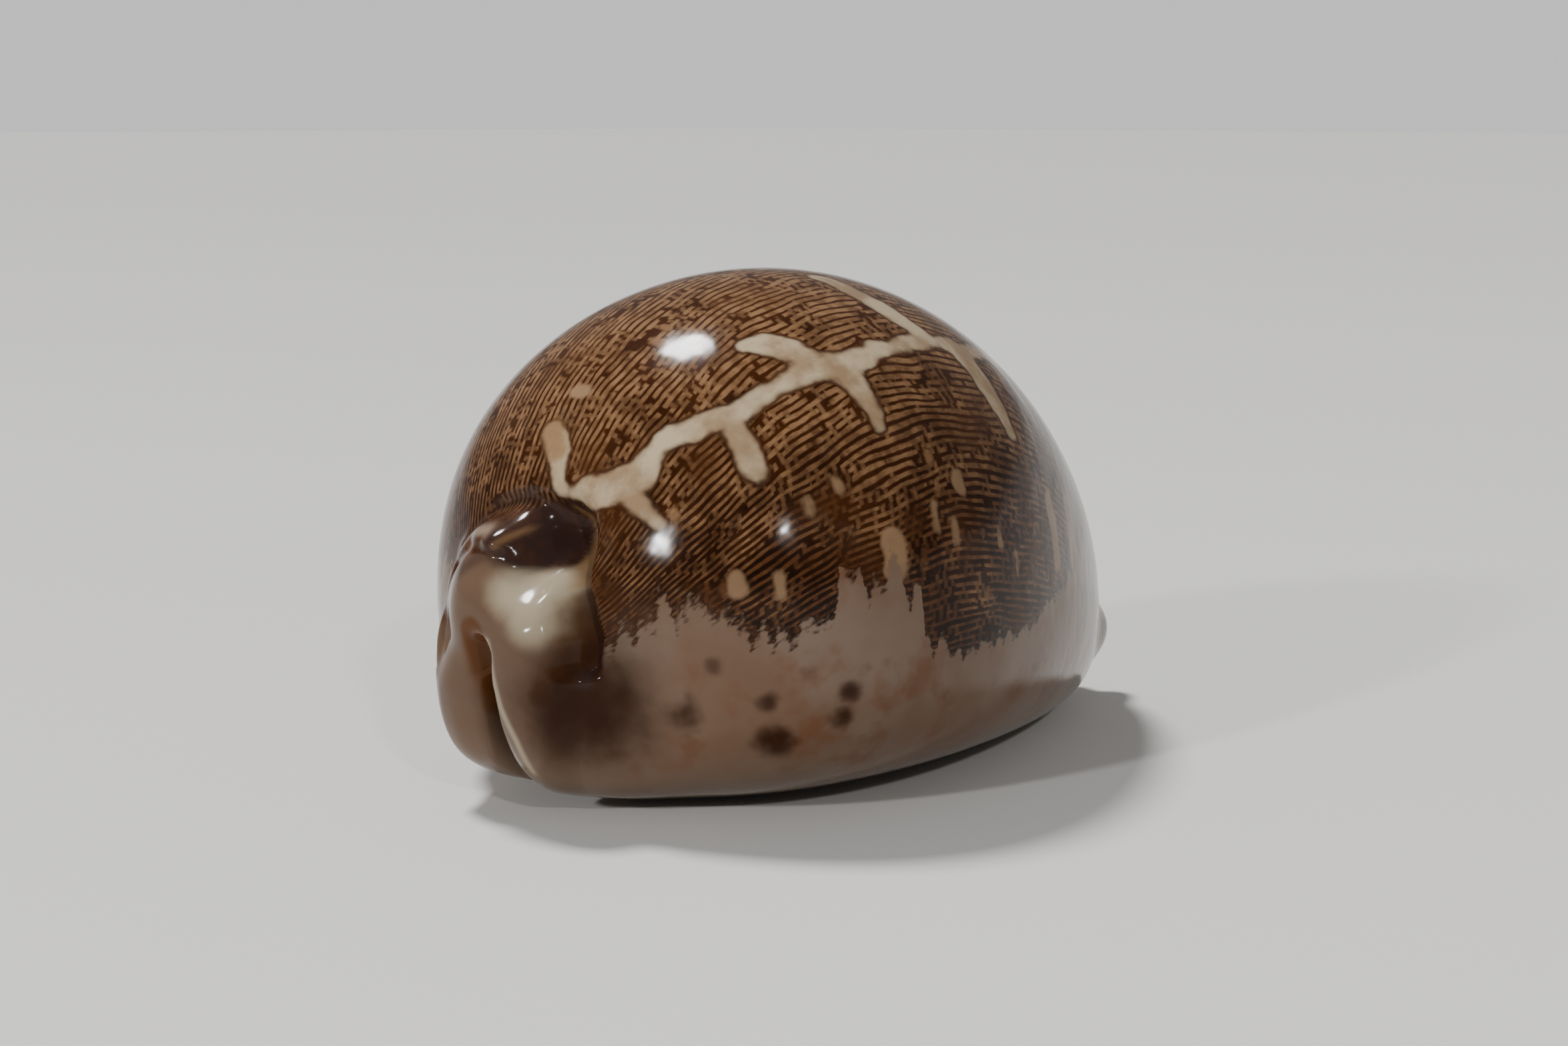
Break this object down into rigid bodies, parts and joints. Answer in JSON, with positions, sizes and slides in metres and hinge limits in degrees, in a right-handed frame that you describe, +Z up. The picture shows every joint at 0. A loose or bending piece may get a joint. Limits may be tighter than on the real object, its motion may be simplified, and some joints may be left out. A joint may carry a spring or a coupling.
{
  "type": "cowrie shell",
  "caption": "Glossy egg-shaped map cowrie shell, hollow, lying on its level base, with a toothed slot below, lobed ends and a pit over the rear canal.",
  "frame": {"origin": "centre of the shell's length and width, on the level base it rests on", "axes": "+X from the rear (spire) end to the front (anterior) end along the slot, +Y to the inner lip's side, +Z up through the back"},
  "size_m": [0.0792, 0.0514, 0.0437],
  "materials": {
    "glaze": "gloss"
  },
  "bodies": {
    "root": {"shell": "glaze"}
  },
  "joints": []
}
